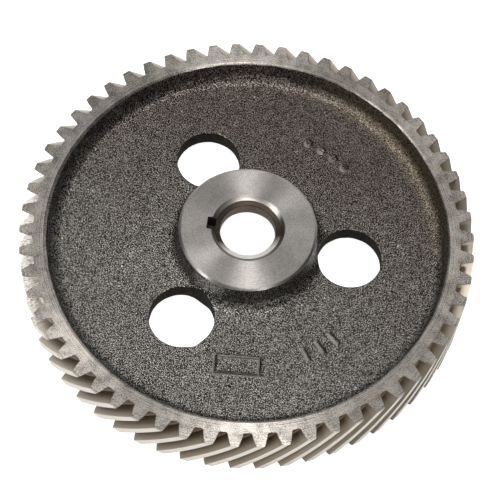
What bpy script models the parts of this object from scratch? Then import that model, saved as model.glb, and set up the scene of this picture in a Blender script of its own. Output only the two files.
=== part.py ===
"""Camshaft gear: one iron casting with a helical toothed rim, a thin web, a turned hub and three web holes.

Metres, +Z up. The gear lies on its rear rim face at Z = 0, its axis is the Z axis, its front face looks up,
and +X runs through one of the three web holes. The keyway lies on the other side, at -X.
"""

from math import acos, atan, cos, pi, radians, sin, tan

import bmesh
import bpy
from mathutils import Matrix

# Teeth
TOOTH_COUNT = 58
NORMAL_MODULE = 0.0021167
NORMAL_PRESSURE_ANGLE = radians(14.5)
HELIX_ANGLE = radians(38.5)
ADDENDUM = 0.0021167
DEDENDUM = 0.0026459
ROOT_FILLET = 0.0006
TOOTH_PHASE = radians(1.68)

# Rim
FACE_WIDTH = 0.0210
RIM_WALL = 0.0038
RIM_CHAMFER = 0.0007
RIM_DRAFT = 0.0008
RIM_FILLET = 0.0042

# Web
WEB_DEPTH = 0.0080
WEB_THICKNESS = 0.0070
HOLE_COUNT = 3
HOLE_RADIUS = 0.01155
HOLE_CIRCLE_RADIUS = 0.0371

# Hub
HUB_RADIUS = 0.02445
HUB_PROUD = 0.0036
HUB_REAR_STEP = 0.0015
HUB_CHAMFER = 0.00075
HUB_DRAFT = 0.0005
HUB_FILLET = 0.0040

# Bore through the hub, from the front face to the rear
SEAT_RADIUS = 0.0117
SEAT_CHAMFER = 0.00135
SEAT_DEPTH = 0.0010
CONE_DEPTH = 0.0006
BORE_RADIUS = 0.00985
LAND_THICKNESS = 0.0083
LAND_FLARE = 0.00095
FLARE_HEIGHT = 0.0023
REAR_BORE_RADIUS = 0.0191
REAR_BORE_CHAMFER = 0.0008
KEYWAY_WIDTH = 0.00476
KEYWAY_REACH = 0.0146
KEYWAY_INSET = 0.0002
KEYWAY_DEPTH = 0.0065

# Plain raised marks on the front of the web
MARK_HEIGHT = 0.0008
MARK_SUNK = 0.0004
MARK_CIRCLE_RADIUS = 0.0478
PIP_RADIUS = 0.0016
PIP_COUNT = 4
PIP_SPACING = radians(6.6)
PIP_CENTRE_ANGLE = radians(59.5)
BAR_LENGTH = 0.0060
BAR_WIDTH = 0.0015
BAR_COUNT = 3
BAR_SPACING = radians(7.0)
BAR_CENTRE_ANGLE = radians(-50.0)
FRAME_LENGTH = 0.0164
FRAME_HEIGHT = 0.0074
FRAME_LINE = 0.0010
FRAME_CENTRE_ANGLE = radians(-86.3)

# How finely the round shapes are divided, and the angle above which an edge shows as sharp
TURN_STEPS = 60
TWIST_STEPS = 6
FILLET_STEPS = 3
HOLE_STEPS = 32
PIP_STEPS = 12
SHARP_ANGLE = radians(32)

# The largest share of its wall that a fillet may take
FILLET_SHARE = 0.8

# Working room beyond the part for the shapes that cut it
CUT_ROOM = 0.0020

# Bare iron, as linear red, green, blue and alpha
IRON_COLOUR = (0.19, 0.175, 0.16, 1)
IRON_ROUGHNESS = 0.48


def involute(angle):
    """How far an involute has turned where its pressure angle is this."""
    return tan(angle) - angle


PITCH_RADIUS = TOOTH_COUNT * NORMAL_MODULE / (2 * cos(HELIX_ANGLE))
TIP_RADIUS = PITCH_RADIUS + ADDENDUM
ROOT_RADIUS = PITCH_RADIUS - DEDENDUM
TRANSVERSE_ANGLE = atan(tan(NORMAL_PRESSURE_ANGLE) / cos(HELIX_ANGLE))
BASE_RADIUS = PITCH_RADIUS * cos(TRANSVERSE_ANGLE)
TWIST_PER_METRE = tan(HELIX_ANGLE) / PITCH_RADIUS
RIM_INNER_RADIUS = ROOT_RADIUS - RIM_WALL
WEB_FRONT = FACE_WIDTH - WEB_DEPTH
WEB_REAR = WEB_FRONT - WEB_THICKNESS
HUB_FRONT = FACE_WIDTH + HUB_PROUD
LAND_REAR = HUB_FRONT - LAND_THICKNESS


def new_collection(name):
    made = bpy.data.collections.new(name)
    bpy.context.scene.collection.children.link(made)
    return made


def mesh_object(name, bm, collection):
    """A mesh object holding this bmesh, with its faces turned to point out."""
    bmesh.ops.recalc_face_normals(bm, faces=bm.faces[:])
    mesh = bpy.data.meshes.new(name)
    bm.to_mesh(mesh)
    bm.free()
    made = bpy.data.objects.new(name, mesh)
    collection.objects.link(made)
    return made


def as_cutter(thing):
    thing.hide_render = True
    thing.display_type = "WIRE"
    return thing


def polar(radius, angle):
    return radius * cos(angle), radius * sin(angle)


def half_thickness(radius):
    """Half the angle that a tooth fills at this radius, in the plane across the axis."""
    at_pitch = pi / (2 * TOOTH_COUNT)
    ratio = min(1.0, BASE_RADIUS / radius)
    return at_pitch + involute(TRANSVERSE_ANGLE) - involute(acos(ratio))


def tooth_side():
    """(radius, angle from the tooth's middle) down one side of a tooth, from its tip to its root."""
    fillet = min(ROOT_FILLET, DEDENDUM / 2)
    flank_foot = ROOT_RADIUS + fillet
    side = []
    for radius in (TIP_RADIUS, PITCH_RADIUS, flank_foot):
        side.append((radius, half_thickness(radius)))
    foot_angle = half_thickness(flank_foot)
    side.append((ROOT_RADIUS, foot_angle + fillet / ROOT_RADIUS))
    return side


def tooth_outline():
    """The closed outline of all the teeth, anticlockwise."""
    side = tooth_side()
    points = []
    for tooth in range(TOOTH_COUNT):
        middle = 2 * pi * tooth / TOOTH_COUNT
        for radius, angle in reversed(side):
            points.append(polar(radius, middle - angle))
        for radius, angle in side:
            points.append(polar(radius, middle + angle))
    return points


def toothed_bar(collection):
    """The teeth as a long twisted bar, which the turned blank is then cut to."""
    bottom = -CUT_ROOM
    top = HUB_FRONT + CUT_ROOM
    bm = bmesh.new()
    corners = [bm.verts.new((x, y, bottom)) for x, y in tooth_outline()]
    face = bm.faces.new(corners)
    start = TOOTH_PHASE + TWIST_PER_METRE * (bottom - FACE_WIDTH)
    bmesh.ops.rotate(bm, verts=bm.verts[:], cent=(0, 0, 0), matrix=Matrix.Rotation(start, 3, "Z"))
    bmesh.ops.spin(
        bm,
        geom=[face],
        cent=(0, 0, 0),
        axis=(0, 0, 1),
        dvec=(0, 0, (top - bottom) / TWIST_STEPS),
        angle=TWIST_PER_METRE * (top - bottom),
        steps=TWIST_STEPS,
        use_merge=False,
        use_duplicate=False,
    )
    return as_cutter(mesh_object("toothed_bar", bm, collection))


def arc(centre, radius, first, last):
    """Points on an arc in the profile's plane, both ends included."""
    points = []
    for step in range(FILLET_STEPS + 1):
        angle = first + (last - first) * step / FILLET_STEPS
        points.append((centre[0] + radius * cos(angle), centre[1] + radius * sin(angle)))
    return points


def half_profile(rim_face, web_face, hub_face, up):
    """One side of the section, from the rim's face in to the hub's face. up is 1 in front and -1 behind."""
    depth = abs(rim_face - web_face)
    rim_fillet = min(RIM_FILLET, (depth - RIM_CHAMFER) * FILLET_SHARE)
    hub_height = abs(hub_face - web_face) - HUB_CHAMFER
    hub_fillet = min(HUB_FILLET, hub_height * FILLET_SHARE)
    wall_top = RIM_INNER_RADIUS - RIM_CHAMFER
    wall_foot = wall_top - RIM_DRAFT
    hub_foot = HUB_RADIUS + HUB_DRAFT
    points = [(RIM_INNER_RADIUS, rim_face), (wall_top, rim_face - up * RIM_CHAMFER)]
    rim_centre = (wall_foot - rim_fillet, web_face + up * rim_fillet)
    points += arc(rim_centre, rim_fillet, 0, -up * pi / 2)
    hub_centre = (hub_foot + hub_fillet, web_face + up * hub_fillet)
    points += arc(hub_centre, hub_fillet, -up * pi / 2, -up * pi)
    points.append((HUB_RADIUS, hub_face - up * HUB_CHAMFER))
    points.append((HUB_RADIUS - HUB_CHAMFER, hub_face))
    return points


def blank_profile():
    """The section of the turned blank, down its outer side and back up through the bore."""
    blank_radius = TIP_RADIUS + CUT_ROOM
    rear = half_profile(0, WEB_REAR, HUB_REAR_STEP, -1)
    front = half_profile(FACE_WIDTH, WEB_FRONT, HUB_FRONT, 1)
    bore = [
        (REAR_BORE_RADIUS + REAR_BORE_CHAMFER, HUB_REAR_STEP),
        (REAR_BORE_RADIUS, HUB_REAR_STEP + REAR_BORE_CHAMFER),
        (REAR_BORE_RADIUS, LAND_REAR),
        (BORE_RADIUS + LAND_FLARE, LAND_REAR),
        (BORE_RADIUS, LAND_REAR + FLARE_HEIGHT),
        (BORE_RADIUS, HUB_FRONT - SEAT_DEPTH - CONE_DEPTH),
        (SEAT_RADIUS, HUB_FRONT - SEAT_DEPTH),
        (SEAT_RADIUS + SEAT_CHAMFER, HUB_FRONT),
    ]
    outside = [(blank_radius, FACE_WIDTH), (blank_radius, 0)]
    return outside + rear + bore + front[::-1]


def turned_blank(collection):
    """The blank as turned, before its teeth are cut: its section swept round the axis."""
    bm = bmesh.new()
    ring = [bm.verts.new((x, 0, z)) for x, z in blank_profile()]
    for index, corner in enumerate(ring):
        bm.edges.new((corner, ring[(index + 1) % len(ring)]))
    mesh = bpy.data.meshes.new("camshaft_gear")
    bm.to_mesh(mesh)
    bm.free()
    made = bpy.data.objects.new("camshaft_gear", mesh)
    collection.objects.link(made)
    screw = made.modifiers.new("turn", "SCREW")
    screw.axis = "Z"
    screw.steps = TURN_STEPS
    screw.render_steps = TURN_STEPS
    screw.use_merge_vertices = True
    screw.merge_threshold = 0.00001
    return made


def web_hole(index, collection):
    """A drill through the web, which also takes what the hub's fillets leave over the hole."""
    bm = bmesh.new()
    bmesh.ops.create_cone(
        bm,
        cap_ends=True,
        segments=HOLE_STEPS,
        radius1=HOLE_RADIUS,
        radius2=HOLE_RADIUS,
        depth=HUB_FRONT + 2 * CUT_ROOM,
    )
    drill = as_cutter(mesh_object("web_hole_%d" % index, bm, collection))
    x, y = polar(HOLE_CIRCLE_RADIUS, 2 * pi * index / HOLE_COUNT)
    drill.location = (x, y, HUB_FRONT / 2)
    return drill


def box(size):
    bm = bmesh.new()
    bmesh.ops.create_cube(bm, size=1)
    bmesh.ops.scale(bm, verts=bm.verts[:], vec=size)
    return bm


def keyway(collection):
    """The blind slot beside the bore's seat, down from the hub's face. It leaves the land's inner ring whole."""
    start = SEAT_RADIUS - KEYWAY_INSET
    size = (KEYWAY_REACH - start, KEYWAY_WIDTH, KEYWAY_DEPTH + CUT_ROOM)
    slot = as_cutter(mesh_object("keyway", box(size), collection))
    slot.location = (-(KEYWAY_REACH + start) / 2, 0, HUB_FRONT + (CUT_ROOM - KEYWAY_DEPTH) / 2)
    return slot


def place_mark(mark, radius, angle):
    """Stands a mark on the web at this radius and angle, its local X axis along the circle."""
    x, y = polar(radius, angle)
    mark.location = (x, y, WEB_FRONT - MARK_SUNK)
    mark.rotation_euler = (0, 0, angle + pi / 2)
    return mark


def raised(bm):
    """Moves a shape made about its own middle so that it starts at the mark's foot."""
    bmesh.ops.translate(bm, verts=bm.verts[:], vec=(0, 0, (MARK_HEIGHT + MARK_SUNK) / 2))
    return bm


def pip(index, collection):
    bm = bmesh.new()
    bmesh.ops.create_cone(
        bm,
        cap_ends=True,
        segments=PIP_STEPS,
        radius1=PIP_RADIUS,
        radius2=PIP_RADIUS - MARK_HEIGHT / 2,
        depth=MARK_HEIGHT + MARK_SUNK,
    )
    mark = as_cutter(mesh_object("pip_%d" % index, raised(bm), collection))
    angle = PIP_CENTRE_ANGLE + (index - (PIP_COUNT - 1) / 2) * PIP_SPACING
    return place_mark(mark, MARK_CIRCLE_RADIUS, angle)


def bar(index, collection):
    bm = raised(box((BAR_WIDTH, BAR_LENGTH, MARK_HEIGHT + MARK_SUNK)))
    mark = as_cutter(mesh_object("bar_%d" % index, bm, collection))
    angle = BAR_CENTRE_ANGLE + (index - (BAR_COUNT - 1) / 2) * BAR_SPACING
    return place_mark(mark, MARK_CIRCLE_RADIUS, angle)


def frame_mark(collection):
    """A raised rectangular outline: a plate whose middle is pushed down to a hole."""
    bm = bmesh.new()
    outer = []
    inner = []
    for sx, sy in ((-1, -1), (1, -1), (1, 1), (-1, 1)):
        outer.append(bm.verts.new((sx * FRAME_LENGTH / 2, sy * FRAME_HEIGHT / 2, 0)))
        reach = (FRAME_LENGTH / 2 - FRAME_LINE, FRAME_HEIGHT / 2 - FRAME_LINE)
        inner.append(bm.verts.new((sx * reach[0], sy * reach[1], 0)))
    sides = []
    for first in range(4):
        second = (first + 1) % 4
        sides.append(bm.faces.new((outer[first], outer[second], inner[second], inner[first])))
    grown = bmesh.ops.extrude_face_region(bm, geom=sides)
    lifted = [item for item in grown["geom"] if isinstance(item, bmesh.types.BMVert)]
    bmesh.ops.translate(bm, verts=lifted, vec=(0, 0, MARK_HEIGHT + MARK_SUNK))
    mark = as_cutter(mesh_object("frame_mark", bm, collection))
    return place_mark(mark, MARK_CIRCLE_RADIUS, FRAME_CENTRE_ANGLE)


def combine(thing, other, operation):
    step = thing.modifiers.new(other.name, "BOOLEAN")
    step.operation = operation
    step.solver = "EXACT"
    step.object = other


def iron():
    """Grey cast iron, part machined and part as cast."""
    material = bpy.data.materials.new("cast_iron")
    material.use_nodes = True
    shader = material.node_tree.nodes["Principled BSDF"]
    shader.inputs["Base Color"].default_value = IRON_COLOUR
    shader.inputs["Metallic"].default_value = 1.0
    shader.inputs["Roughness"].default_value = IRON_ROUGHNESS
    material.diffuse_color = IRON_COLOUR
    return material


def main():
    for thing in list(bpy.data.objects):
        bpy.data.objects.remove(thing)
    parts = new_collection("Camshaft gear")
    cutters = new_collection("Cutters")

    gear = turned_blank(parts)
    combine(gear, toothed_bar(cutters), "INTERSECT")
    for index in range(HOLE_COUNT):
        combine(gear, web_hole(index, cutters), "DIFFERENCE")
    combine(gear, keyway(cutters), "DIFFERENCE")
    marks = [pip(index, cutters) for index in range(PIP_COUNT)]
    marks += [bar(index, cutters) for index in range(BAR_COUNT)]
    marks.append(frame_mark(cutters))
    for mark in marks:
        combine(gear, mark, "UNION")

    bpy.context.view_layer.update()
    graph = bpy.context.evaluated_depsgraph_get()
    finished = bpy.data.meshes.new_from_object(gear.evaluated_get(graph))
    gear.modifiers.clear()
    gear.data = finished
    gear.data.name = "camshaft_gear"
    gear.data.materials.clear()
    gear.data.materials.append(iron())
    gear.data.shade_smooth()
    gear.data.set_sharp_from_angle(angle=SHARP_ANGLE)


main()
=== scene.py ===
"""Looks of the camshaft gear: one iron casting, rough on its web, machined on its teeth, rim, hub and bore.

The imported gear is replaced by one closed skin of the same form. The skin adds what the solid leaves out: true
involute flanks, broken edges, the uneven skin of a sand casting and soft cast marks. Metres, +Z up. The gear
lies with its front face up and its keyway at -X. +Y, away from the camera, is called north.
"""

from math import acos, asin, atan, atan2, cos, hypot, pi, radians, sin, sqrt, tan

import bmesh
import bpy
from mathutils import Matrix, Vector, noise
from mathutils.geometry import delaunay_2d_cdt


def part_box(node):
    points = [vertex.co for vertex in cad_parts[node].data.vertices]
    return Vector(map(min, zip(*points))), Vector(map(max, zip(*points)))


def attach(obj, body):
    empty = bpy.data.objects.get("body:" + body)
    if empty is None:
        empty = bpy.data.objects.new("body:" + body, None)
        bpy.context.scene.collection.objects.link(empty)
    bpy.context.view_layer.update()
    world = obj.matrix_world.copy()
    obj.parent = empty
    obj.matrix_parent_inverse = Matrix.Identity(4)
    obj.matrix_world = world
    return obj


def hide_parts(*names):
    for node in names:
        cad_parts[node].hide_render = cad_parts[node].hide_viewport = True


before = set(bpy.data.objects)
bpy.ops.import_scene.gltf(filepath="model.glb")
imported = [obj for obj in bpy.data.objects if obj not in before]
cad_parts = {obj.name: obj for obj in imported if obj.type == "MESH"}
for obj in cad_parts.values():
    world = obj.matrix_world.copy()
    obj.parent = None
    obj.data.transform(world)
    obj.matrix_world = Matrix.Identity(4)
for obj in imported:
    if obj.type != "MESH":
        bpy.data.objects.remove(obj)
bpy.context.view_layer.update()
GEAR_LOW, GEAR_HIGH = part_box("camshaft_gear")

MM = 0.001

# Teeth, as they are cut on the solid
TOOTH_COUNT = 58
NORMAL_MODULE = 2.1167 * MM
NORMAL_PRESSURE_ANGLE = radians(14.5)
HELIX_ANGLE = radians(38.5)
ADDENDUM = 2.1167 * MM
DEDENDUM = 2.6459 * MM
ROOT_FILLET = 0.6 * MM
TOOTH_PHASE = radians(1.68)

# The gear's section, hung on the frame's own lowest and highest points
REAR_FACE = GEAR_LOW.z
HUB_FRONT = GEAR_HIGH.z
FRONT_FACE = HUB_FRONT - 3.6 * MM
RIM_WALL = 3.8 * MM
RIM_CHAMFER = 0.7 * MM
RIM_DRAFT = 0.8 * MM
RIM_FILLET = 4.2 * MM
# The casting sat off centre in the lathe, so the rim's chamfer is wide on one side and narrow on the other
CASTING_SHIFT = 0.3 * MM
CASTING_SHIFT_ANGLE = radians(45)
WEB_FRONT = FRONT_FACE - 8.0 * MM
WEB_REAR = WEB_FRONT - 7.0 * MM
HUB_REAR = REAR_FACE + 1.5 * MM
HUB_RADIUS = 24.45 * MM
HUB_CHAMFER = 0.75 * MM
HUB_DRAFT = 0.5 * MM
HUB_FRONT_FILLET = 4.0 * MM
HUB_REAR_FILLET = 2.8 * MM

# Holes through the web, and the one with a nick in its front edge
HOLE_COUNT = 3
HOLE_RADIUS = 11.55 * MM
HOLE_CIRCLE_RADIUS = 37.1 * MM
HOLE_EDGE = 0.35 * MM
NICKED_HOLE = 2
NICK_ANGLE = radians(-60)
NICK_WIDTH = radians(16)
NICK_DEPTH = 0.45 * MM

# Bore and keyway
SEAT_RADIUS = 11.7 * MM
SEAT_CHAMFER = 1.35 * MM
SEAT_DEPTH = 1.0 * MM
CONE_DEPTH = 0.6 * MM
BORE_RADIUS = 9.85 * MM
LAND_REAR = HUB_FRONT - 8.3 * MM
LAND_FLARE = 0.95 * MM
FLARE_HEIGHT = 2.3 * MM
REAR_BORE_RADIUS = 19.1 * MM
REAR_BORE_CHAMFER = 0.8 * MM
REAR_BORE_FILLET = 0.6 * MM
KEYWAY_WIDTH = 4.76 * MM
KEYWAY_START = SEAT_RADIUS - 0.2 * MM
KEYWAY_REACH = 14.6 * MM
KEYWAY_FLOOR = HUB_FRONT - 6.5 * MM
KEYWAY_CORNER = 0.35 * MM

# Plain raised marks on the front of the web
MARK_HEIGHT = 0.8 * MM
MARK_DRAFT = 0.4 * MM
MARK_CIRCLE_RADIUS = 47.8 * MM
PIP_RADIUS = 1.6 * MM
PIP_COUNT = 4
PIP_SPACING = radians(6.6)
PIP_CENTRE_ANGLE = radians(59.5)
BAR_LENGTH = 6.0 * MM
BAR_WIDTH = 1.5 * MM
BAR_COUNT = 3
BAR_SPACING = radians(7.0)
BAR_CENTRE_ANGLE = radians(-50.0)
FRAME_LENGTH = 16.4 * MM
FRAME_HEIGHT = 7.4 * MM
FRAME_LINE = 1.0 * MM
FRAME_CENTRE_ANGLE = radians(-86.3)

# The marks' tops have worn unevenly. Painted shade lies at the foot of the sides that face one way, and a
# painted highlight lies on the edges that face the other
MARK_WEAR = 0.35
MARK_WEAR_SIZE = 2.1 * MM
MARK_LIGHT_WAY = (-0.7, -0.7)
MARK_SHADING_REACH = 0.55 * MM
PAINTED_SHADE_MIDDLE = -0.2 * MARK_SHADING_REACH
PAINTED_HIGHLIGHT_MIDDLE = 0.5 * MARK_SHADING_REACH
MARK_SHADING_FADE = 1.6

# Edges broken with a file, in strokes that take off more or less
BROKEN_EDGE = 0.12 * MM
FILE_UNEVENNESS = 0.6
FILE_STROKE = 1.3 * MM
TIP_ROUNDING = 0.16 * MM

# How rough the sand left the casting, and how far that throws a chamfer's edge about
SAND_SWELL = 0.10 * MM
SAND_SWELL_SIZE = 3.2 * MM
SAND_LUMP = 0.05 * MM
SAND_LUMP_SIZE = 1.1 * MM
SAND_LUMP_OFFSET = Vector((7, 3, 5))
CHAMFER_RUN_OUT = 1.5 * SAND_SWELL

# How finely the skin is divided
STEPS_PER_TOOTH = 6
RIM_STEPS = TOOTH_COUNT * STEPS_PER_TOOTH
HUB_STEPS = 180
BORE_STEPS = 150
HOLE_STEPS = 96
KEYWAY_STEPS = 8
KEYWAY_CORNER_STEPS = 3
CORNER_STEPS = 5
FLANK_STEPS = 6
TWIST_ROWS = 11
FILLET_ROWS = 8
STEEP_FILLET = radians(70)
WEB_SPACING = 0.85 * MM
REAR_WEB_SPACING = 1.1 * MM
MARK_SPACING = 0.30 * MM
MARK_PATCH_STEPS = 2
CLEAR_OF_POINTS = 0.6
SHARP_ANGLE = radians(20)

# The finishes, in the order of the skin's material slots
(
    ROUGH_CASTING,
    CORED_HOLE,
    FACED_RIM,
    HOBBED_TEETH,
    TURNED_HUB,
    BORE_CHAMFER,
    BORE_CONE,
    BORE_WALL,
    BROACHED_KEYWAY,
) = range(9)


def involute(angle):
    """How far an involute has turned where its pressure angle is this."""
    return tan(angle) - angle


# What follows from the sizes above
PITCH_RADIUS = TOOTH_COUNT * NORMAL_MODULE / (2 * cos(HELIX_ANGLE))
TIP_RADIUS = PITCH_RADIUS + ADDENDUM
ROOT_RADIUS = PITCH_RADIUS - DEDENDUM
TRANSVERSE_ANGLE = atan(tan(NORMAL_PRESSURE_ANGLE) / cos(HELIX_ANGLE))
BASE_RADIUS = PITCH_RADIUS * cos(TRANSVERSE_ANGLE)
TWIST_PER_METRE = tan(HELIX_ANGLE) / PITCH_RADIUS
TOOTH_PITCH = 2 * pi / TOOTH_COUNT
RIM_INNER_RADIUS = ROOT_RADIUS - RIM_WALL
WEB_RADIUS = RIM_INNER_RADIUS - RIM_CHAMFER - RIM_DRAFT - RIM_FILLET
HUB_FOOT = HUB_RADIUS + HUB_DRAFT
HUB_FACE_RADIUS = HUB_RADIUS - HUB_CHAMFER


def polar(radius, angle):
    """The x and y of a point at this radius and angle."""
    return radius * cos(angle), radius * sin(angle)


def ring(radius, height, steps, phase=0.0):
    """Points round the axis."""
    points = []
    for step in range(steps):
        points.append((*polar(radius, phase + 2 * pi * step / steps), height))
    return points


def sand_skin(place):
    """How far the sand mould left the skin proud or low at a point."""
    swell = noise.noise(place / SAND_SWELL_SIZE) * SAND_SWELL
    return swell + noise.noise(place / SAND_LUMP_SIZE + SAND_LUMP_OFFSET) * SAND_LUMP


class Skin:
    """Corners and faces of the one closed surface, with the finish of each face."""

    def __init__(self):
        self.corners = []
        self.faces = []
        self.finishes = []

    def row(self, points):
        """Adds points and returns their numbers."""
        first = len(self.corners)
        self.corners.extend(points)
        return list(range(first, len(self.corners)))

    def shift(self, first, way):
        """Moves every corner from this number on across the gear."""
        for number in range(first, len(self.corners)):
            x, y, z = self.corners[number]
            self.corners[number] = (x + way[0], y + way[1], z)

    def face(self, corners, finish):
        """Adds one face."""
        self.faces.append(corners)
        self.finishes.append(finish)

    def band(self, near, far, finish, closed=True):
        """A strip of four-sided faces between two rows of the same length."""
        for here in range(len(near) if closed else len(near) - 1):
            beside = (here + 1) % len(near)
            self.face((near[here], near[beside], far[beside], far[here]), finish)

    def turn(self, start, profile, steps, phase, finish):
        """Rings through (radius, height) points, each joined to the one before. Returns the last ring."""
        last = start
        for radius, height in profile:
            made = self.row(ring(radius, height, steps, phase))
            self.band(last, made, finish)
            last = made
        return last

    def sheet(self, loops, inner_points, belongs, finish):
        """Triangles between closed loops and through free points, where belongs says there is metal."""
        numbers = [number for loop in loops for number in loop] + self.row(inner_points)
        flat = [Vector(self.corners[number][:2]) for number in numbers]
        edges = []
        first = 0
        for loop in loops:
            for here in range(len(loop)):
                edges.append((first + here, first + (here + 1) % len(loop)))
            first += len(loop)
        places, _, faces, sources, _, _ = delaunay_2d_cdt(flat, edges, [], 0, 1e-9)
        for face in faces:
            x = sum(places[corner].x for corner in face) / 3
            y = sum(places[corner].y for corner in face) / 3
            if belongs(x, y):
                self.face(tuple(numbers[sources[corner][0]] for corner in face), finish)


# Teeth and rim


def half_thickness(radius):
    """Half the angle that a tooth fills at this radius, in the plane across the axis."""
    turned = involute(acos(min(1.0, BASE_RADIUS / radius)))
    return pi / (2 * TOOTH_COUNT) + involute(TRANSVERSE_ANGLE) - turned


def tooth_side():
    """(radius, angle from the tooth's middle), from the middle of the gap up one side to the tip's edge."""
    flank_foot = ROOT_RADIUS + ROOT_FILLET
    flank_top = TIP_RADIUS - TIP_ROUNDING
    foot_angle = half_thickness(flank_foot)
    top_angle = half_thickness(flank_top)
    side = [(ROOT_RADIUS, TOOTH_PITCH / 2)]
    for step in range(CORNER_STEPS + 1):
        turn = step / CORNER_STEPS * pi / 2
        beyond = ROOT_FILLET * (1 - sin(turn)) / ROOT_RADIUS
        side.append((flank_foot - ROOT_FILLET * cos(turn), foot_angle + beyond))
    for step in range(1, FLANK_STEPS + 1):
        radius = flank_foot + (flank_top - flank_foot) * step / FLANK_STEPS
        side.append((radius, half_thickness(radius)))
    for turn in (pi / 6, pi / 3, pi / 2):
        back = TIP_ROUNDING * (1 - cos(turn)) / TIP_RADIUS
        side.append((flank_top + TIP_ROUNDING * sin(turn), top_angle - back))
    return side


def tooth_outline():
    """The outline of every tooth in turn, anticlockwise, each from its gap's middle to the next gap."""
    side = tooth_side()
    points = []
    for tooth in range(TOOTH_COUNT):
        middle = TOOTH_PITCH * tooth
        points += [polar(radius, middle - angle) for radius, angle in side]
        points += [polar(radius, middle + angle) for radius, angle in side[:0:-1]]
    return points


def drawn_in(outline):
    """The outline moved into the metal by an uneven amount, as a file leaves a broken edge."""
    points = []
    for here, (x, y) in enumerate(outline):
        before = outline[here - 1]
        after = outline[(here + 1) % len(outline)]
        along = Vector((after[0] - before[0], after[1] - before[1])).normalized()
        amount = BROKEN_EDGE * (1 + FILE_UNEVENNESS * noise.noise(Vector((x, y, 0)) / FILE_STROKE))
        points.append((x - along.y * amount, y + along.x * amount))
    return points


def phase_at(height):
    """How far round the teeth have turned at this height."""
    return TOOTH_PHASE + TWIST_PER_METRE * (height - FRONT_FACE)


def cut_teeth(skin):
    """The toothed outside, from the rear face to the front. Returns its rear and front rows."""
    outline = tooth_outline()
    broken = drawn_in(outline)
    low = REAR_FACE + BROKEN_EDGE
    high = FRONT_FACE - BROKEN_EDGE
    heights = [low + (high - low) * step / TWIST_ROWS for step in range(TWIST_ROWS + 1)]
    levels = [(REAR_FACE, broken)] + [(height, outline) for height in heights] + [(FRONT_FACE, broken)]
    rows = []
    for height, flat in levels:
        turn = Matrix.Rotation(phase_at(height), 2)
        rows.append(skin.row([(*(turn @ Vector(point)), height) for point in flat]))
    for near, far in zip(rows, rows[1:]):
        skin.band(near, far, HOBBED_TEETH)
    return rows[0], rows[-1]


def face_rim(skin, outline_row, height):
    """The flat ring between the teeth's ends and the rim's inner edge. Returns the inner edge's row."""
    phase = phase_at(height) - TOOTH_PITCH / 2
    edge = skin.row(ring(RIM_INNER_RADIUS + BROKEN_EDGE, height, RIM_STEPS, phase))
    per_tooth = len(outline_row) // TOOTH_COUNT
    for tooth in range(TOOTH_COUNT):
        first = tooth * per_tooth
        outer = [outline_row[(first + step) % len(outline_row)] for step in range(per_tooth + 1)]
        first = tooth * STEPS_PER_TOOTH
        inner = [edge[(first + step) % RIM_STEPS] for step in range(STEPS_PER_TOOTH + 1)]
        skin.face(tuple(outer + inner[::-1]), FACED_RIM)
    return edge


def wavy_edge(radius, height, steps, phase, inward, up, shift=0.0):
    """The ring where a 45 degree chamfer runs out on rough casting, deeper where the casting stands proud."""
    points = []
    for x, y, z in ring(radius, height, steps, phase):
        slip = noise.noise(Vector((x, y, z)) / SAND_SWELL_SIZE) * CHAMFER_RUN_OUT
        slip -= shift * cos(atan2(y, x) - CASTING_SHIFT_ANGLE)
        share = (radius + inward * slip) / radius
        points.append((x * share, y * share, z - up * slip))
    return points


def rim_inside(skin, edge, face, web, up):
    """The rim's faced chamfer, its rough wall and its fillet. Returns the ring at the fillet's foot."""
    phase = phase_at(face) - TOOTH_PITCH / 2
    broken = [(RIM_INNER_RADIUS - BROKEN_EDGE, face - up * BROKEN_EDGE)]
    edge = skin.turn(edge, broken, RIM_STEPS, phase, FACED_RIM)
    top = RIM_INNER_RADIUS - RIM_CHAMFER
    run_out = skin.row(wavy_edge(top, face - up * RIM_CHAMFER, RIM_STEPS, phase, -1, up, CASTING_SHIFT))
    skin.band(edge, run_out, FACED_RIM)
    first_cast = len(skin.corners)
    centre = (top - RIM_DRAFT - RIM_FILLET, web + up * RIM_FILLET)
    wall = abs(face - web) - RIM_CHAMFER - RIM_FILLET
    profile = []
    for share in (0.35, 0.7, 1.0):
        profile.append((top - RIM_DRAFT * share, face - up * (RIM_CHAMFER + wall * share)))
    for step in range(1, FILLET_ROWS + 1):
        across, down = polar(RIM_FILLET, step / FILLET_ROWS * pi / 2)
        profile.append((centre[0] + across, centre[1] - up * down))
    foot = skin.turn(run_out, profile, RIM_STEPS, phase, ROUGH_CASTING)
    skin.shift(first_cast, polar(CASTING_SHIFT, CASTING_SHIFT_ANGLE))
    return foot


# Hub and web


def hub_outside(skin, fillet_ring, face, web, up, fillet):
    """The fillet's steep end, the hub's rough wall and its turned chamfer. Returns the face's outer ring."""
    centre = (HUB_FOOT + fillet, web + up * fillet)
    profile = []
    for turn in (radians(80), radians(90)):
        profile.append((centre[0] - fillet * sin(turn), centre[1] - up * fillet * cos(turn)))
    foot = abs(centre[1] - web)
    wall = abs(face - web) - HUB_CHAMFER - foot
    for share in (0.33, 0.66):
        profile.append((HUB_FOOT - HUB_DRAFT * share, web + up * (foot + wall * share)))
    wall_top = skin.turn(fillet_ring, profile, HUB_STEPS, 0, ROUGH_CASTING)
    run_out = skin.row(wavy_edge(HUB_RADIUS, face - up * HUB_CHAMFER, HUB_STEPS, 0, 1, up))
    skin.band(wall_top, run_out, ROUGH_CASTING)
    edge = [
        (HUB_FACE_RADIUS + BROKEN_EDGE, face - up * BROKEN_EDGE),
        (HUB_FACE_RADIUS - BROKEN_EDGE, face),
    ]
    return skin.turn(run_out, edge, HUB_STEPS, 0, TURNED_HUB)


def hole_centre(index):
    """Where a web hole's axis lies."""
    return polar(HOLE_CIRCLE_RADIUS, 2 * pi * index / HOLE_COUNT)


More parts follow.
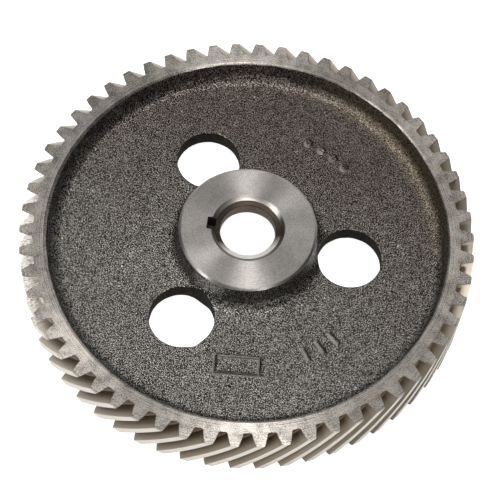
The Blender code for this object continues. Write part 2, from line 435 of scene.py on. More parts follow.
def hub_fillet_rise(radius, fillet):
    """How far the hub's fillet stands over the web at this radius."""
    reach = min(fillet, max(0.0, HUB_FOOT + fillet - radius))
    return fillet - sqrt(fillet * fillet - reach * reach)


def nick(index, angle):
    """How much metal is missing from the front edge of the nicked hole at this angle."""
    if index != NICKED_HOLE:
        return 0.0
    away = abs((angle - NICK_ANGLE + pi) % (2 * pi) - pi)
    return NICK_DEPTH * max(0.0, 1 - away / NICK_WIDTH)


def hole_rows(skin, index, web, up, fillet):
    """The rounded edge of a web hole on one side, from the web's surface down to the wall."""
    cx, cy = hole_centre(index)
    rows = []
    for spread, sink in ((1.0, 0.0), (0.3, 0.3), (0.0, 1.0)):
        points = []
        for step in range(HOLE_STEPS):
            angle = 2 * pi * step / HOLE_STEPS
            bite = nick(index, angle) if up > 0 else 0.0
            x, y = polar(HOLE_RADIUS + HOLE_EDGE + bite, angle)
            surface = web + up * hub_fillet_rise(hypot(cx + x, cy + y), fillet)
            share = (HOLE_RADIUS + spread * HOLE_EDGE + bite) / hypot(x, y)
            points.append((cx + x * share, cy + y * share, surface - up * sink * HOLE_EDGE))
        rows.append(skin.row(points))
    skin.band(rows[0], rows[1], ROUGH_CASTING)
    skin.band(rows[1], rows[2], ROUGH_CASTING)
    return rows[0], rows[2]


def hole_wall(skin, front, rear):
    """The wall of a web hole, between the feet of its two rounded edges."""
    last = front
    for share in (0.2, 0.4, 0.6, 0.8):
        points = []
        for high, low in zip(front, rear):
            points.append(tuple(Vector(skin.corners[high]).lerp(Vector(skin.corners[low]), share)))
        made = skin.row(points)
        skin.band(last, made, CORED_HOLE)
        last = made
    skin.band(last, rear, CORED_HOLE)


def pip_depth(u, v):
    """How far inside a pip's outline a point of its plane is."""
    return PIP_RADIUS - hypot(u, v)


def bar_depth(u, v):
    """How far inside a bar's outline a point of its plane is."""
    return min(BAR_WIDTH / 2 - abs(u), BAR_LENGTH / 2 - abs(v))


def frame_depth(u, v):
    """How far inside the frame's line a point of its plane is."""
    outside = min(FRAME_LENGTH / 2 - abs(u), FRAME_HEIGHT / 2 - abs(v))
    return min(outside, FRAME_LINE - outside)


def cast_marks():
    """(turn into the mark's own plane, half length, half height, depth inside its outline) of each mark."""
    marks = []
    for index in range(PIP_COUNT):
        angle = PIP_CENTRE_ANGLE + (index - (PIP_COUNT - 1) / 2) * PIP_SPACING
        marks.append((angle, PIP_RADIUS, PIP_RADIUS, pip_depth))
    for index in range(BAR_COUNT):
        angle = BAR_CENTRE_ANGLE + (index - (BAR_COUNT - 1) / 2) * BAR_SPACING
        marks.append((angle, BAR_WIDTH / 2, BAR_LENGTH / 2, bar_depth))
    marks.append((FRAME_CENTRE_ANGLE, FRAME_LENGTH / 2, FRAME_HEIGHT / 2, frame_depth))
    placed = []
    for angle, half_length, half_height, depth in marks:
        place = Matrix.Translation((*polar(MARK_CIRCLE_RADIUS, angle), 0))
        stand = place @ Matrix.Rotation(angle + pi / 2, 4, "Z")
        placed.append((stand, half_length, half_height, depth))
    return placed


MARKS = cast_marks()


def near_mark(x, y, margin):
    """How deep inside a mark's outline this point is, or None if no mark is within the margin of it."""
    for stand, half_length, half_height, depth in MARKS:
        if hypot(x - stand.translation.x, y - stand.translation.y) > half_length + half_height + margin:
            continue
        local = stand.inverted() @ Vector((x, y, 0))
        if abs(local.x) < half_length + margin and abs(local.y) < half_height + margin:
            return depth(local.x, local.y)
    return None


def mark_rise(x, y):
    """How far a mark stands over the web here, with the soft, drafted sides of cast relief."""
    depth = near_mark(x, y, 0)
    if depth is None:
        return 0.0
    share = min(1.0, max(0.0, depth / MARK_DRAFT))
    worn = 1 + MARK_WEAR * noise.noise(Vector((x, y, 0)) / MARK_WEAR_SIZE)
    return MARK_HEIGHT * worn * share * share * (3 - 2 * share)


def painted_mark_shading(x, y):
    """-1 where painted shade lies at a mark's foot, 1 where a painted highlight lies on its edge, and 0 away
    from the marks.
    """
    depth = near_mark(x, y, MARK_SHADING_REACH)
    beyond = near_mark(x + MARK_SHADING_REACH * MARK_LIGHT_WAY[0], y + MARK_SHADING_REACH * MARK_LIGHT_WAY[1], 2 * MARK_SHADING_REACH)
    if depth is None or beyond is None or depth < -MARK_SHADING_REACH:
        return 0.0
    side = (depth - beyond) / MARK_SHADING_REACH
    middle = PAINTED_SHADE_MIDDLE if side < 0 else PAINTED_HIGHLIGHT_MIDDLE
    share = MARK_SHADING_FADE - MARK_SHADING_FADE * abs(depth - middle) / MARK_SHADING_REACH
    return side * max(0.0, min(1.0, share))


def over_hole(x, y, margin):
    """Whether a point is over a web hole, or within the margin of its rounded edge."""
    for index in range(HOLE_COUNT):
        cx, cy = hole_centre(index)
        if hypot(x - cx, y - cy) < HOLE_RADIUS + HOLE_EDGE + margin:
            return True
    return False


def in_hole_edge(x, y, up):
    """Whether a point is inside the outermost loop of a hole's rounded edge."""
    for index in range(HOLE_COUNT):
        cx, cy = hole_centre(index)
        bite = nick(index, atan2(y - cy, x - cx)) if up > 0 else 0.0
        if hypot(x - cx, y - cy) < (HOLE_RADIUS + HOLE_EDGE + bite) * cos(pi / HOLE_STEPS):
            return True
    return False


def web_radii(spacing, fillet):
    """Radii of the rings of free points: close on the hub's fillet, then evenly out to the rim's fillet."""
    foot = HUB_FOOT + fillet
    radii = [foot - fillet * sin(radians(turn)) for turn in (60, 50, 40, 30, 20, 10)]
    count = round((WEB_RADIUS - foot) / spacing)
    return radii + [foot + (WEB_RADIUS - foot) * step / count for step in range(count)]


def web_points(spacing, web, up, fillet, marked):
    """Free points over the web, clear of the holes, with a finer patch on each mark."""
    points = []
    for number, radius in enumerate(web_radii(spacing, fillet)):
        steps = round(2 * pi * radius / spacing)
        for step in range(steps):
            x, y = polar(radius, 2 * pi * (step + number % 2 / 2) / steps)
            if over_hole(x, y, CLEAR_OF_POINTS * spacing):
                continue
            if marked and near_mark(x, y, (MARK_PATCH_STEPS + CLEAR_OF_POINTS) * MARK_SPACING) is not None:
                continue
            points.append((x, y, web + up * hub_fillet_rise(radius, fillet)))
    if marked:
        for stand, half_length, half_height, _ in MARKS:
            across = int(half_length / MARK_SPACING) + MARK_PATCH_STEPS
            along = int(half_height / MARK_SPACING) + MARK_PATCH_STEPS
            for i in range(-across, across + 1):
                for j in range(-along, along + 1):
                    spot = stand @ Vector((i * MARK_SPACING, j * MARK_SPACING, 0))
                    points.append((spot.x, spot.y, web + up * mark_rise(spot.x, spot.y)))
    return points


def web_side(skin, rim_ring, web, hub_face, up, fillet, spacing):
    """One side of the web, and the hub's outside. Returns the hub face's outer ring and the holes' edges."""
    centre = (HUB_FOOT + fillet, web + up * fillet)
    radius = centre[0] - fillet * sin(STEEP_FILLET)
    fillet_ring = skin.row(ring(radius, centre[1] - up * fillet * cos(STEEP_FILLET), HUB_STEPS))
    holes = [hole_rows(skin, index, web, up, fillet) for index in range(HOLE_COUNT)]
    inner_limit = radius * cos(pi / HUB_STEPS)
    outer_limit = WEB_RADIUS + CASTING_SHIFT

    def on_web(x, y):
        """Whether a point is between the hub and the rim, and not over a hole."""
        return inner_limit < hypot(x, y) < outer_limit and not in_hole_edge(x, y, up)

    loops = [rim_ring, fillet_ring] + [edge for edge, _ in holes]
    skin.sheet(loops, web_points(spacing, web, up, fillet, up > 0), on_web, ROUGH_CASTING)
    return hub_outside(skin, fillet_ring, hub_face, web, up, fillet), [foot for _, foot in holes]


# Bore and keyway


def open_ring(radius, height):
    """Points round the bore from one side of the keyway to the other."""
    gap = asin(KEYWAY_WIDTH / 2 / radius)
    points = []
    for step in range(BORE_STEPS):
        angle = (gap - pi) * (1 - 2 * step / (BORE_STEPS - 1))
        points.append((*polar(radius, angle), height))
    return points


def keyway_inner(height):
    """Points along the keyway's inner side, from its +Y side to its -Y side."""
    points = []
    for step in range(KEYWAY_STEPS + 1):
        points.append((-KEYWAY_START, KEYWAY_WIDTH * (0.5 - step / KEYWAY_STEPS), height))
    return points


def keyway_end(height):
    """Points round the keyway's outer end, from its +Y side to its -Y side."""
    points = []
    for side in (1, -1):
        middle = (KEYWAY_CORNER - KEYWAY_REACH, side * (KEYWAY_WIDTH / 2 - KEYWAY_CORNER))
        arc = []
        for step in range(KEYWAY_CORNER_STEPS + 1):
            across, out = polar(KEYWAY_CORNER, step / KEYWAY_CORNER_STEPS * pi / 2)
            arc.append((middle[0] - out, middle[1] + side * across, height))
        points += arc if side > 0 else arc[::-1]
    return points


def bore_ring(radius, height):
    """Points round the whole bore, in step with the open rings above and the keyway's inner side."""
    points = []
    for x, y, _ in open_ring(SEAT_RADIUS, height) + keyway_inner(height)[1:-1]:
        share = radius / hypot(x, y)
        points.append((x * share, y * share, height))
    return points


def keyway(skin, mouth_rows, seat_row):
    """The blind slot beside the seat, under the hub face's outline. Returns that outline."""
    top = skin.row(keyway_end(HUB_FRONT))
    inner = [seat_row[BORE_STEPS - 1]] + seat_row[BORE_STEPS:] + [seat_row[0]]
    floor_end = skin.row(keyway_end(KEYWAY_FLOOR))
    floor_inner = skin.row(keyway_inner(KEYWAY_FLOOR))
    skin.band(top, floor_end, BROACHED_KEYWAY, closed=False)
    skin.band(inner, floor_inner, BROACHED_KEYWAY, closed=False)
    for end in (0, -1):
        mouth = [row[-1 - end] for row in mouth_rows]
        skin.face(tuple(mouth + [inner[end], floor_inner[end], floor_end[end], top[end]]), BROACHED_KEYWAY)
    skin.face(tuple(floor_inner + floor_end[::-1]), BROACHED_KEYWAY)
    return top


def bore(skin, hub_ring, land_ring):
    """The hub's front face, the keyway, the bore's chamfer, cone and land, and the land's rear."""
    seat_edge = SEAT_RADIUS + SEAT_CHAMFER
    seat_depth = HUB_FRONT - SEAT_DEPTH
    cone_foot = seat_depth - CONE_DEPTH
    mouth_rows = [
        skin.row(open_ring(seat_edge + BROKEN_EDGE, HUB_FRONT)),
        skin.row(open_ring(seat_edge - BROKEN_EDGE, HUB_FRONT - BROKEN_EDGE)),
    ]
    skin.band(*mouth_rows, TURNED_HUB, closed=False)
    seat_row = skin.row(open_ring(SEAT_RADIUS, seat_depth) + keyway_inner(seat_depth)[1:-1])
    skin.band(mouth_rows[1], seat_row[:BORE_STEPS], BORE_CHAMFER, closed=False)
    outline = keyway(skin, mouth_rows, seat_row)
    last = seat_row
    for radius, height, finish in (
        (BORE_RADIUS + 2 * BROKEN_EDGE, cone_foot + BROKEN_EDGE, BORE_CONE),
        (BORE_RADIUS, cone_foot - BROKEN_EDGE, BORE_CONE),
        (BORE_RADIUS, LAND_REAR + FLARE_HEIGHT, BORE_WALL),
        (BORE_RADIUS + LAND_FLARE, LAND_REAR, BORE_WALL),
    ):
        made = skin.row(bore_ring(radius, height))
        skin.band(last, made, finish)
        last = made

    def on_hub_face(x, y):
        """Whether a point is outside the bore's chamfer and the keyway."""
        in_keyway = -KEYWAY_REACH < x < 0 and abs(y) < KEYWAY_WIDTH / 2
        return hypot(x, y) > (seat_edge + BROKEN_EDGE) * cos(pi / BORE_STEPS) and not in_keyway

    def on_land(x, y):
        """Whether a point is outside the bore's flared end."""
        return hypot(x, y) > (BORE_RADIUS + LAND_FLARE) * cos(pi / BORE_STEPS)

    skin.sheet([hub_ring, mouth_rows[0] + outline], [], on_hub_face, TURNED_HUB)
    skin.sheet([land_ring, last], [], on_land, BORE_WALL)


def rear_hub(skin, hub_ring):
    """The hub's rear face and the recess behind the bore's land. Returns the ring at the recess's floor."""
    mouth = REAR_BORE_RADIUS + REAR_BORE_CHAMFER
    edge = skin.turn(hub_ring, [(mouth + BROKEN_EDGE, HUB_REAR)], HUB_STEPS, 0, TURNED_HUB)
    profile = [
        (mouth - BROKEN_EDGE, HUB_REAR + BROKEN_EDGE),
        (REAR_BORE_RADIUS + BROKEN_EDGE, HUB_REAR + REAR_BORE_CHAMFER - BROKEN_EDGE),
        (REAR_BORE_RADIUS, HUB_REAR + REAR_BORE_CHAMFER + BROKEN_EDGE),
        (REAR_BORE_RADIUS, (HUB_REAR + LAND_REAR) / 2),
    ]
    for step in range(CORNER_STEPS + 1):
        across, out = polar(REAR_BORE_FILLET, step / CORNER_STEPS * pi / 2)
        profile.append((REAR_BORE_RADIUS - REAR_BORE_FILLET + across, LAND_REAR - REAR_BORE_FILLET + out))
    return skin.turn(edge, profile, HUB_STEPS, 0, BORE_WALL)


# The whole casting


def gear_skin():
    """The whole casting as one closed skin."""
    skin = Skin()
    rear_row, front_row = cut_teeth(skin)
    sides = (
        (front_row, FRONT_FACE, WEB_FRONT, HUB_FRONT, 1, HUB_FRONT_FILLET, WEB_SPACING),
        (rear_row, REAR_FACE, WEB_REAR, HUB_REAR, -1, HUB_REAR_FILLET, REAR_WEB_SPACING),
    )
    hub_rings = []
    hole_feet = []
    for outline_row, face, web, hub_face, up, fillet, spacing in sides:
        edge = face_rim(skin, outline_row, face)
        rim_ring = rim_inside(skin, edge, face, web, up)
        hub_ring, feet = web_side(skin, rim_ring, web, hub_face, up, fillet, spacing)
        hub_rings.append(hub_ring)
        hole_feet.append(feet)
    for front, rear in zip(*hole_feet):
        hole_wall(skin, front, rear)
    bore(skin, hub_rings[0], rear_hub(skin, hub_rings[1]))
    return skin


def roughened(bm):
    """Moves each corner that only casting meets by what the sand left, and leaves machined metal true."""
    rough = {ROUGH_CASTING, CORED_HOLE}
    bm.normal_update()
    moves = []
    for corner in bm.verts:
        if all(face.material_index in rough for face in corner.link_faces):
            moves.append((corner, corner.normal * sand_skin(corner.co)))
    for corner, move in moves:
        corner.co += move


def gear_mesh(finishes):
    """The skin as a mesh, its faces turned out, its machined edges sharp and a material for each finish."""
    skin = gear_skin()
    mesh = bpy.data.meshes.new("gear_casting")
    mesh.from_pydata(skin.corners, [], skin.faces)
    for finish in finishes:
        mesh.materials.append(finish)
    mesh.polygons.foreach_set("material_index", skin.finishes)
    bm = bmesh.new()
    bm.from_mesh(mesh)
    loose = [corner for corner in bm.verts if not corner.link_faces]
    bmesh.ops.delete(bm, geom=loose, context="VERTS")
    bmesh.ops.recalc_face_normals(bm, faces=bm.faces[:])
    roughened(bm)
    for edge in bm.edges:
        near, far = edge.link_faces
        if near.material_index != far.material_index:
            edge.smooth = False
    bm.to_mesh(mesh)
    bm.free()
    mesh.shade_smooth()
    mesh.set_sharp_from_angle(angle=SHARP_ANGLE)
    # Painted shade and painted highlight beside the cast marks, kept on each corner for the web's material
    painted_shading = mesh.attributes.new("painted_mark_shading", "FLOAT", "POINT")
    for corner, mark in zip(mesh.vertices, painted_shading.data):
        if corner.co.z > WEB_FRONT - SAND_SWELL:
            mark.value = painted_mark_shading(corner.co.x, corner.co.y)
    return mesh


# Finishes

# Sides of the gear, as directions across it: where the web is browner and darker, where rust dust and a painted
# highlight lie in the corner under the rim, and the middle of the tooth flanks that are painted light
BROWNER_WAY = (0.3, 0.95, 0)
DUST_AND_LIGHT_WAY = (0.77, 0.64, 0)
PAINTED_LIGHT_ANGLE = radians(193)
PAINTED_LIGHT_FULL_AT = radians(13)
PAINTED_LIGHT_GONE_AT = radians(23)


def linear(code):
    """A colour written as sRGB hex, turned linear."""
    channels = []
    for start in (0, 2, 4):
        level = int(code[start:start + 2], 16) / 255
        channels.append(level / 12.92 if level <= 0.04045 else ((level + 0.055) / 1.055) ** 2.4)
    return (*channels, 1.0)


# Inputs go by name, or by number where a node's names are long or repeat. Map Range: 0 value, 1 and 2 from,
# 3 and 4 to. Mix: 0 factor, 2 and 3 plain numbers, 6 and 7 colours
def add(tree, kind, links=None, **settings):
    """Adds a shader node with its settings. Each input given takes a value, or the output it is linked to."""
    node = tree.nodes.new("ShaderNode" + kind)
    for name, value in settings.items():
        setattr(node, name, value)
    for name, value in (links or {}).items():
        if isinstance(value, bpy.types.NodeSocket):
            tree.links.new(value, node.inputs[name])
        else:
            node.inputs[name].default_value = value
    return node


def new_finish(name):
    """An empty material and its node tree."""
    finish = bpy.data.materials.new(name)
    finish.use_nodes = True
    finish.node_tree.nodes.clear()
    return finish, finish.node_tree


def sand_cast_iron():
    """Grey iron as the sand mould left it: a dark, dull skin whose sharp little grains catch the light."""
    finish, tree = new_finish("sand_cast_iron")
    place = add(tree, "TexCoord").outputs["Object"]
    # Moulding sand is finer than the render can show, so its grains are drawn 0.25 mm across. Pebbles are
    # where they clump, and stains where oil has pooled
    grain = add(tree, "TexNoise", {"Vector": place, "Scale": 1 / (0.25 * MM), "Detail": 0})
    pebble = add(tree, "TexNoise", {"Vector": place, "Scale": 1 / (1.7 * MM), "Detail": 2})
    mottled = add(tree, "TexNoise", {"Vector": place, "Scale": 1 / (9 * MM), "Detail": 3})
    ragged = (0.7 * MM, 0.7 * MM, 0.7 * MM)
    torn = add(tree, "VectorMath", {0: grain.outputs["Color"], 1: ragged, 2: place}, operation="MULTIPLY_ADD")
    fleck = add(tree, "TexVoronoi", {"Vector": torn.outputs[0], "Scale": 1 / (2.6 * MM)})
    flat = add(tree, "VectorMath", {0: place, 1: (1, 1, 0)}, operation="MULTIPLY")
    from_axis = add(tree, "VectorMath", {0: flat.outputs[0]}, operation="LENGTH").outputs["Value"]
    # Grain and pebble together decide which grains are rubbed light
    worn = add(tree, "Mix", {0: 0.1, 2: grain.outputs["Fac"], 3: pebble.outputs["Fac"]}, data_type="FLOAT")
    lit = add(tree, "MapRange", {0: worn.outputs[0], 1: 0.585, 2: 0.675}, interpolation_type="SMOOTHSTEP")
    # Browner and darker towards its far side, in blotches
    towards_browner = add(tree, "VectorMath", {0: place, 1: BROWNER_WAY}, operation="DOT_PRODUCT")
    browner = add(tree, "MapRange", {0: towards_browner.outputs["Value"], 1: -25 * MM, 2: 50 * MM})
    blotched = add(tree, "Mix", {0: 0.45, 2: browner.outputs[0], 3: mottled.outputs["Fac"]}, data_type="FLOAT")
    brown = add(tree, "MapRange", {0: blotched.outputs[0], 1: 0.2, 2: 0.8})
    low = add(tree, "Mix", {0: brown.outputs[0], 6: linear("272523"), 7: linear("2B2523")}, data_type="RGBA")
    high = add(tree, "Mix", {0: brown.outputs[0], 6: linear("FFFBF4"), 7: linear("DDCEC2")}, data_type="RGBA")
    skin = add(tree, "Mix", {0: lit.outputs[0], 6: low.outputs[2], 7: high.outputs[2]}, data_type="RGBA")
    # A dusting of rust, with a painted highlight, lies in one part of the corner under the rim, gathered
    # between the grains
    corner = add(tree, "MapRange", {0: from_axis, 1: 64.5 * MM, 2: 68.5 * MM})
    towards = add(tree, "VectorMath", {0: place, 1: DUST_AND_LIGHT_WAY}, operation="DOT_PRODUCT")
    side = add(tree, "MapRange", {0: towards.outputs["Value"], 1: 50 * MM, 2: 66 * MM, 4: 0.5})
    patch = add(tree, "Math", {0: corner.outputs[0], 1: side.outputs[0]}, operation="MULTIPLY")
    gathered = add(tree, "MapRange", {0: grain.outputs["Fac"], 1: 0.44, 2: 0.56})
    rust_and_light = add(tree, "Math", {0: patch.outputs[0], 1: gathered.outputs[0]}, operation="MULTIPLY")
    dusted_and_lit = add(
        tree, "Mix", {0: rust_and_light.outputs[0], 6: skin.outputs[2], 7: linear("A69A7C")}, data_type="RGBA"
    )
    # Painted shade on one side of the cast marks, and a painted highlight on the other side's edge
    painted_shading = add(tree, "Attribute", attribute_name="painted_mark_shading").outputs["Fac"]
    painted_shade = add(tree, "MapRange", {0: painted_shading, 1: 0.0, 2: -1.0})
    painted_highlight = add(tree, "MapRange", {0: painted_shading, 1: 0.0, 2: 1.0})
    with_painted_shade = add(
        tree, "Mix", {0: painted_shade.outputs[0], 6: dusted_and_lit.outputs[2], 7: linear("100E0C")}, data_type="RGBA"
    )
    marked = add(
        tree, "Mix", {0: painted_highlight.outputs[0], 6: with_painted_shade.outputs[2], 7: linear("B4AEA6")}, data_type="RGBA"
    )
    # Now and then a bright speck of scale
    speck_near = add(tree, "MapRange", {0: fleck.outputs["Distance"], 1: 0.16, 2: 0.10})
    speck_some = add(tree, "MapRange", {0: fleck.outputs["Color"], 1: 0.80, 2: 0.84})
    speck = add(tree, "Math", {0: speck_near.outputs[0], 1: speck_some.outputs[0]}, operation="MULTIPLY")
    colour = add(
        tree, "Mix", {0: speck.outputs[0], 6: marked.outputs[2], 7: linear("E0D2B4")}, data_type="RGBA"
    )
    # The rubbed grains are smoother than the hollows between them
    rough = add(tree, "MapRange", {0: grain.outputs["Fac"], 1: 0.3, 2: 0.7, 3: 0.58, 4: 0.42})
    swell = add(tree, "Bump", {"Height": pebble.outputs["Fac"], "Strength": 0.5, "Distance": 0.3 * MM})
    grit = add(
        tree,
        "Bump",
        {"Height": grain.outputs["Fac"], "Strength": 1.0, "Distance": 0.1 * MM, "Normal": swell.outputs[0]},
    )
    shader = add(
        tree,
        "BsdfPrincipled",
        {
            "Base Color": colour.outputs[2],
            "Metallic": 0.9,
            "Roughness": rough.outputs[0],
            "Normal": grit.outputs[0],
        },
    )
    add(tree, "OutputMaterial", {"Surface": shader.outputs[0]})
    return finish


def cored_hole_wall():
    """The holes' walls, cast against a sand core: darker than the web with painted shade, dull, with a few
    light grains.
    """
    finish, tree = new_finish("cored_hole_wall")
    place = add(tree, "TexCoord").outputs["Object"]
    grain = add(tree, "TexNoise", {"Vector": place, "Scale": 1 / (0.5 * MM), "Detail": 2, "Roughness": 0.7})
    lit = add(tree, "MapRange", {0: grain.outputs["Fac"], 1: 0.48, 2: 0.72})
    # Painted shade: the walls are coloured nearly black
    colour = add(tree, "Mix", {0: lit.outputs[0], 6: linear("14110D"), 7: linear("544B3F")}, data_type="RGBA")
    grit = add(tree, "Bump", {"Height": grain.outputs["Fac"], "Strength": 1.0, "Distance": 0.2 * MM})
    shader = add(
        tree,
        "BsdfPrincipled",
        {
            "Base Color": colour.outputs[2],
            "Metallic": 0.3,
            "Roughness": 0.85,
            "Specular IOR Level": 0.15,
            "Normal": grit.outputs[0],
        },
    )
    add(tree, "OutputMaterial", {"Surface": shader.outputs[0]})
    return finish


def turned_iron(name, bright, dull, rough, feed, mottle):
    """Iron faced in a lathe: rings too fine to see one by one throw the light into fans across them."""
    finish, tree = new_finish(name)
    place = add(tree, "TexCoord").outputs["Object"]
    flat = add(tree, "VectorMath", {0: place, 1: (1, 1, 0)}, operation="MULTIPLY")
    from_axis = add(tree, "VectorMath", {0: flat.outputs[0]}, operation="LENGTH").outputs["Value"]
    rings = add(
        tree,
        "TexNoise",
        {"W": from_axis, "Scale": 1 / feed, "Detail": 2, "Roughness": 0.7},
        noise_dimensions="1D",
    )
    grain = add(tree, "TexNoise", {"Vector": place, "Scale": 1 / (0.35 * MM), "Detail": 2, "Roughness": 0.8})
    cloud = add(tree, "TexNoise", {"Vector": place, "Scale": 1 / (5 * MM), "Detail": 4, "Roughness": 0.7})
    mixed = add(tree, "Mix", {0: 0.8, 2: rings.outputs["Fac"], 3: grain.outputs["Fac"]}, data_type="FLOAT")
    clouded = add(tree, "Mix", {0: mottle, 2: mixed.outputs[0], 3: cloud.outputs["Fac"]}, data_type="FLOAT")
    worn = add(tree, "MapRange", {0: clouded.outputs[0], 1: 0.43, 2: 0.57})
    colour = add(tree, "Mix", {0: worn.outputs[0], 6: linear(dull), 7: linear(bright)}, data_type="RGBA")
    gloss = add(tree, "MapRange", {0: clouded.outputs[0], 1: 0.3, 2: 0.7, 3: rough + 0.05, 4: rough - 0.05})
    marks = add(tree, "Bump", {"Height": mixed.outputs[0], "Strength": 0.5, "Distance": 0.03 * MM})
    # A quarter turn lays the highlight across the rings
    around = add(tree, "Tangent", direction_type="RADIAL", axis="Z")
    shader = add(
        tree,
        "BsdfPrincipled",
        {
            "Base Color": colour.outputs[2],
            "Metallic": 1.0,
            "Roughness": gloss.outputs[0],
            "Anisotropic": 0.85,
            "Anisotropic Rotation": 0.25,
            "Tangent": around.outputs[0],
            "Normal": marks.outputs[0],
        },
    )
    add(tree, "OutputMaterial", {"Surface": shader.outputs[0]})
    return finish


def bored_iron(name, lit_side, lit_tone, mottled_tones, rough):
    """Iron bored in a lathe, with painted light: one tone on one side of the round, and browner, mottled tones
    elsewhere.
    """
    finish, tree = new_finish(name)
    place = add(tree, "TexCoord").outputs["Object"]
    # Painted light: the round takes its own tone on its lit side
    way = (*polar(1, lit_side), 0)
    towards = add(tree, "VectorMath", {0: place, 1: way}, operation="DOT_PRODUCT").outputs["Value"]
    lit_share = add(tree, "MapRange", {0: towards, 1: 0.35 * BORE_RADIUS, 2: 0.8 * BORE_RADIUS})
    grain = add(tree, "TexNoise", {"Vector": place, "Scale": 1 / (0.5 * MM), "Detail": 3, "Roughness": 0.7})
    mottled = add(
        tree, "Mix", {0: grain.outputs["Fac"], 6: linear(mottled_tones[0]), 7: linear(mottled_tones[1])}, data_type="RGBA"
    )
    colour = add(tree, "Mix", {0: lit_share.outputs[0], 6: mottled.outputs[2], 7: linear(lit_tone)}, data_type="RGBA")
    marks = add(tree, "Bump", {"Height": grain.outputs["Fac"], "Strength": 0.5, "Distance": 0.03 * MM})
    around = add(tree, "Tangent", direction_type="RADIAL", axis="Z")
    shader = add(
        tree,
        "BsdfPrincipled",
        {
            "Base Color": colour.outputs[2],
            "Metallic": 1.0,
            "Roughness": rough,
            "Anisotropic": 0.5,
            "Anisotropic Rotation": 0.25,
            "Tangent": around.outputs[0],
            "Normal": marks.outputs[0],
        },
    )
    add(tree, "OutputMaterial", {"Surface": shader.outputs[0]})
    return finish


def hobbed_teeth():
    """Iron cut by a hob: grey-brown down the flanks, with painted shade darkening them towards the roots, pale
    on the turned tips.
    """
    finish, tree = new_finish("hobbed_teeth")
    place = add(tree, "TexCoord").outputs["Object"]
    flat = add(tree, "VectorMath", {0: place, 1: (1, 1, 0)}, operation="MULTIPLY")
    from_axis = add(tree, "VectorMath", {0: flat.outputs[0]}, operation="LENGTH").outputs["Value"]
    grain = add(tree, "TexNoise", {"Vector": place, "Scale": 1 / (0.4 * MM), "Detail": 3, "Roughness": 0.7})
    # Painted shade darkens the flanks towards the roots
    depth = add(tree, "MapRange", {0: from_axis, 1: ROOT_RADIUS, 2: TIP_RADIUS})
    spread = add(tree, "Mix", {0: 0.4, 2: depth.outputs[0], 3: grain.outputs["Fac"]}, data_type="FLOAT")
    lit_tone = add(tree, "MapRange", {0: spread.outputs[0], 1: 0.18, 2: 0.78}, interpolation_type="SMOOTHSTEP")
    flank = add(
        tree, "Mix", {0: lit_tone.outputs[0], 6: linear("786B5A"), 7: linear("B0A799")}, data_type="RGBA"
    )
    # On the keyway's side of the gear the flanks are painted nearly white as light, with brown specks left in
    # them
    blotches = add(tree, "TexNoise", {"Vector": place, "Scale": 1 / (1.3 * MM), "Detail": 3})
    speckled = add(tree, "MapRange", {0: blotches.outputs["Fac"], 1: 0.4, 2: 0.52})
    speckled_painted_light = add(
        tree, "Mix", {0: speckled.outputs[0], 6: linear("7A6A55"), 7: linear("FAF6EE")}, data_type="RGBA"
    )
    outward = add(tree, "VectorMath", {0: flat.outputs[0]}, operation="NORMALIZE")
    way = (*polar(1, PAINTED_LIGHT_ANGLE), 0)
    towards = add(tree, "VectorMath", {0: outward.outputs[0], 1: way}, operation="DOT_PRODUCT")
    painted_light_share = add(
        tree, "MapRange", {0: towards.outputs["Value"], 1: cos(PAINTED_LIGHT_GONE_AT), 2: cos(PAINTED_LIGHT_FULL_AT), 4: 0.92}
    )
    flank_with_painted_light = add(
        tree, "Mix", {0: painted_light_share.outputs[0], 6: flank.outputs[2], 7: speckled_painted_light.outputs[2]}, data_type="RGBA"
    )
    turned = add(tree, "MapRange", {0: from_axis, 1: TIP_RADIUS - 0.25 * MM, 2: TIP_RADIUS - 0.1 * MM})
    colour = add(
        tree, "Mix", {0: turned.outputs[0], 6: flank_with_painted_light.outputs[2], 7: linear("D2CCC2")}, data_type="RGBA"
    )
    grit = add(tree, "Bump", {"Height": grain.outputs["Fac"], "Strength": 0.6, "Distance": 0.06 * MM})
    shader = add(
        tree,
        "BsdfPrincipled",
        {
            "Base Color": colour.outputs[2],
            "Metallic": 1.0,
            "Roughness": 0.4,
            "Normal": grit.outputs[0],
        },
    )
    add(tree, "OutputMaterial", {"Surface": shader.outputs[0]})
    return finish


def broached_keyway():
    """The slot's sides, torn by the broach along its stroke and painted nearly black as shade."""
    finish, tree = new_finish("broached_keyway")
    place = add(tree, "TexCoord").outputs["Object"]
    drawn = add(tree, "Mapping", {"Vector": place, "Scale": (1, 1, 0.15)})
    tears = add(tree, "TexNoise", {"Vector": drawn.outputs[0], "Scale": 1 / (0.4 * MM), "Detail": 2})
    # Painted shade: the slot is coloured nearly black
    colour = add(
        tree, "Mix", {0: tears.outputs["Fac"], 6: linear("2A221B"), 7: linear("50443A")}, data_type="RGBA"
    )
    grit = add(tree, "Bump", {"Height": tears.outputs["Fac"], "Strength": 0.6, "Distance": 0.08 * MM})
    shader = add(
        tree,
        "BsdfPrincipled",
        {
            "Base Color": colour.outputs[2],
            "Metallic": 0.3,
            "Roughness": 0.6,
            "Normal": grit.outputs[0],
        },
    )
    add(tree, "OutputMaterial", {"Surface": shader.outputs[0]})
    return finish


# Room, lights and camera

FLOOR_RADIUS = 4.0
FLOOR_GAP = 0.05 * MM
FLOOR_GLOW = 0.45
BACKDROP_GLOW = 4.0
# Parts of a direction of length one: how steeply up the backdrop ends, and how nearly north it starts
BACKDROP_TOP = 0.22
BACKDROP_FULL = 0.10
BACKDROP_SIDE = 0.3
BACKDROP_MIDDLE = 0.9
PAPER_WHITE = 1.1


